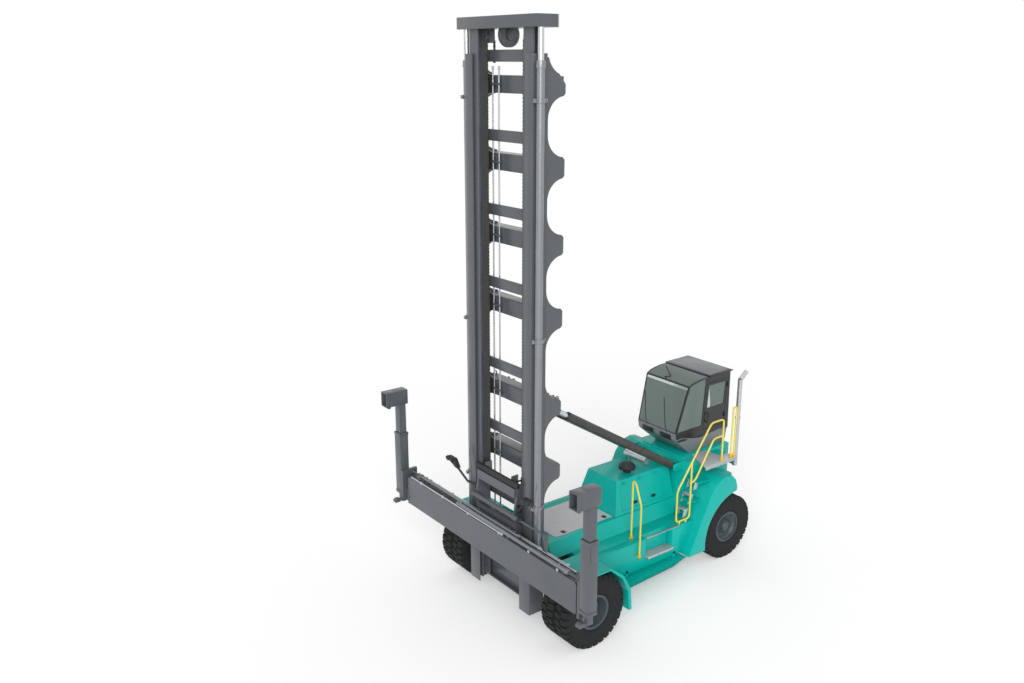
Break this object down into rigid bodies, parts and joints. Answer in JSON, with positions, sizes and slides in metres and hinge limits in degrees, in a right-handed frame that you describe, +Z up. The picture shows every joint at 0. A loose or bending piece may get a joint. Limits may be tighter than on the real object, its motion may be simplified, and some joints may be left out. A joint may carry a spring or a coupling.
{
  "type": "empty container handler",
  "caption": "Mast truck with a two-stage lift mast, tilt cylinders, telescopic side-lift spreader, twin drive wheels, rear steering and a raised rear cab",
  "frame": {"origin": "on the ground, in the middle of the machine's outline", "axes": "+X is the machine's left, -Y its front, +Z up"},
  "size_m": [6.2, 6.74, 11.176],
  "materials": {
    "teal_paint": "glossy turquoise paint",
    "mast_grey": "satin dark grey paint",
    "chassis_black": "satin black paint",
    "tyre_rubber": "matt rubber",
    "rim_grey": "satin grey paint",
    "chrome_rod": "polished",
    "cylinder_grey": "satin dark grey paint",
    "chain_steel": "oiled steel",
    "step_steel": "perforated bright steel",
    "rail_yellow": "satin yellow paint",
    "cab_dark": "satin black paint",
    "cab_grey": "moulded grey plastic",
    "cab_glass": "tinted glass",
    "seat_plastic": "black plastic and cloth",
    "engine_iron": "painted casting",
    "exhaust_silver": "bright steel",
    "black_plastic": "black moulding"
  },
  "bodies": {
    "chassis": {"air_precleaner": "black_plastic", "cab_base": "cab_grey", "cab_frame": "cab_dark", "cab_windows": "cab_glass", "chassis_frame": "chassis_black", "counterweight": "teal_paint", "deck": "teal_paint", "drive_axle": "chassis_black", "engine_block": "engine_iron", "engine_hood": "teal_paint", "exhaust_stack": "exhaust_silver", "front_fender_left": "teal_paint", "front_fender_right": "teal_paint", "handrails": "rail_yellow", "muffler": "exhaust_silver", "operator_station": "seat_plastic", "platform": "step_steel", "rear_body": "teal_paint", "side_steps": "step_steel", "side_tank_left": "teal_paint", "side_tank_right": "teal_paint", "steer_axle": "chassis_black"},
    "left_drive_wheels": {"front_tyres_left": "tyre_rubber", "front_rims_left": "rim_grey"},
    "right_drive_wheels": {"front_tyres_right": "tyre_rubber", "front_rims_right": "rim_grey"},
    "left_knuckle": {"steering_knuckle_left": "chassis_black"},
    "right_knuckle": {"steering_knuckle_right": "chassis_black"},
    "left_steer_wheel": {"rear_tyre_left": "tyre_rubber", "rear_rim_left": "rim_grey"},
    "right_steer_wheel": {"rear_tyre_right": "tyre_rubber", "rear_rim_right": "rim_grey"},
    "outer_mast": {"outer_mast_column_left": "mast_grey", "outer_mast_column_right": "mast_grey", "outer_mast_crossbeams": "mast_grey"},
    "inner_mast": {"inner_mast_column_left": "mast_grey", "inner_mast_column_right": "mast_grey", "inner_mast_crossbeams": "mast_grey", "mast_cap": "mast_grey", "lift_rod_left": "chrome_rod", "lift_rod_right": "chrome_rod", "lift_chains": "chain_steel"},
    "lift_carriage": {"carriage": "mast_grey", "work_lamps": "black_plastic"},
    "spreader": {"spreader_beam": "mast_grey", "telescope_barrels": "cylinder_grey"},
    "left_arm": {"telescopic_beam_left": "mast_grey", "leg_sleeve_left": "mast_grey"},
    "right_arm": {"telescopic_beam_right": "mast_grey", "leg_sleeve_right": "mast_grey"},
    "left_leg": {"leg_head_left": "mast_grey"},
    "right_leg": {"leg_head_right": "mast_grey"},
    "left_tilt_barrel": {"tilt_barrel_left": "mast_grey"},
    "right_tilt_barrel": {"tilt_barrel_right": "mast_grey"},
    "left_tilt_rod": {"tilt_rod_left": "chrome_rod"},
    "right_tilt_rod": {"tilt_rod_right": "chrome_rod"},
    "door": {"cab_door": "cab_dark", "cab_door_window": "cab_glass"},
    "left_hood_door": {"hood_door_left": "teal_paint"},
    "right_hood_door": {"hood_door_right": "teal_paint"}
  },
  "joints": [
    {"name": "left_drive_wheel_spin", "type": "hinge", "parent": "chassis", "child": "left_drive_wheels", "pos_m": [1.665, -1.93, 0.719], "axis": [1, 0, 0], "continuous": true},
    {"name": "left_steering", "type": "hinge", "parent": "chassis", "child": "left_knuckle", "pos_m": [0.7, 2.629, 0.719], "axis": [0, 0, 1], "range_deg": [-45, 45]},
    {"name": "left_steer_wheel_spin", "type": "hinge", "parent": "left_knuckle", "child": "left_steer_wheel", "pos_m": [1.052, 2.629, 0.719], "axis": [1, 0, 0], "continuous": true},
    {"name": "right_drive_wheel_spin", "type": "hinge", "parent": "chassis", "child": "right_drive_wheels", "pos_m": [-1.665, -1.93, 0.719], "axis": [1, 0, 0], "continuous": true},
    {"name": "right_steering", "type": "hinge", "parent": "chassis", "child": "right_knuckle", "pos_m": [-0.7, 2.629, 0.719], "axis": [0, 0, 1], "range_deg": [-45, 45]},
    {"name": "right_steer_wheel_spin", "type": "hinge", "parent": "right_knuckle", "child": "right_steer_wheel", "pos_m": [-1.052, 2.629, 0.719], "axis": [1, 0, 0], "continuous": true},
    {"name": "mast_tilt", "type": "hinge", "parent": "chassis", "child": "outer_mast", "pos_m": [0, -2.22, 0.62], "axis": [1, 0, 0], "range_deg": [-5, 3]},
    {"name": "mast_lift", "type": "slide", "parent": "outer_mast", "child": "inner_mast", "axis": [0, 0, 1], "range_m": [0, 7.9]},
    {"name": "carriage_lift", "type": "slide", "parent": "inner_mast", "child": "lift_carriage", "axis": [0, 0, 1], "range_m": [0, 7.9]},
    {"name": "side_shift", "type": "slide", "parent": "lift_carriage", "child": "spreader", "axis": [1, 0, 0], "range_m": [-0.6, 0.6]},
    {"name": "left_telescope", "type": "slide", "parent": "spreader", "child": "left_arm", "axis": [1, 0, 0], "range_m": [0, 3.05]},
    {"name": "left_leg_lift", "type": "slide", "parent": "left_arm", "child": "left_leg", "axis": [0, 0, 1], "range_m": [0, 0.305]},
    {"name": "left_tilt_barrel_pivot", "type": "hinge", "parent": "chassis", "child": "left_tilt_barrel", "pos_m": [0.6, 1.485, 2.24], "axis": [1, 0, 0], "range_deg": [-2.34, 1.52]},
    {"name": "left_tilt_rod_slide", "type": "slide", "parent": "left_tilt_barrel", "child": "left_tilt_rod", "axis": [0, -0.854, 0.5203], "range_m": [-0.2954, 0.1792]},
    {"name": "right_telescope", "type": "slide", "parent": "spreader", "child": "right_arm", "axis": [-1, 0, 0], "range_m": [0, 3.05]},
    {"name": "right_leg_lift", "type": "slide", "parent": "right_arm", "child": "right_leg", "axis": [0, 0, 1], "range_m": [0, 0.305]},
    {"name": "right_tilt_barrel_pivot", "type": "hinge", "parent": "chassis", "child": "right_tilt_barrel", "pos_m": [-0.6, 1.485, 2.24], "axis": [1, 0, 0], "range_deg": [-2.34, 1.52]},
    {"name": "right_tilt_rod_slide", "type": "slide", "parent": "right_tilt_barrel", "child": "right_tilt_rod", "axis": [0, -0.854, 0.5203], "range_m": [-0.2954, 0.1792]},
    {"name": "cab_door_hinge", "type": "hinge", "parent": "chassis", "child": "door", "pos_m": [0.61132, 3.052, 3.35], "axis": [0.0616, 0, 0.9981], "range_deg": [0, 50]},
    {"name": "left_hood_door_hinge", "type": "hinge", "parent": "chassis", "child": "left_hood_door", "pos_m": [0.46925, 0.67, 2.14], "axis": [0, -1, 0], "range_deg": [0, 55]},
    {"name": "right_hood_door_hinge", "type": "hinge", "parent": "chassis", "child": "right_hood_door", "pos_m": [-0.46925, 0.67, 2.14], "axis": [0, 1, 0], "range_deg": [0, 55]}
  ],
  "couplings": [
    {"joint": "right_steering", "follows": "left_steering", "ratio": 1},
    {"joint": "carriage_lift", "follows": "mast_lift", "ratio": 1},
    {"joint": "right_telescope", "follows": "left_telescope", "ratio": 1},
    {"joint": "left_tilt_barrel_pivot", "follows": "mast_tilt", "ratio": 0.40779},
    {"joint": "left_tilt_rod_slide", "follows": "mast_tilt", "m_per_rad": 3.3272},
    {"joint": "right_tilt_barrel_pivot", "follows": "mast_tilt", "ratio": 0.40779},
    {"joint": "right_tilt_rod_slide", "follows": "mast_tilt", "m_per_rad": 3.3272}
  ]
}
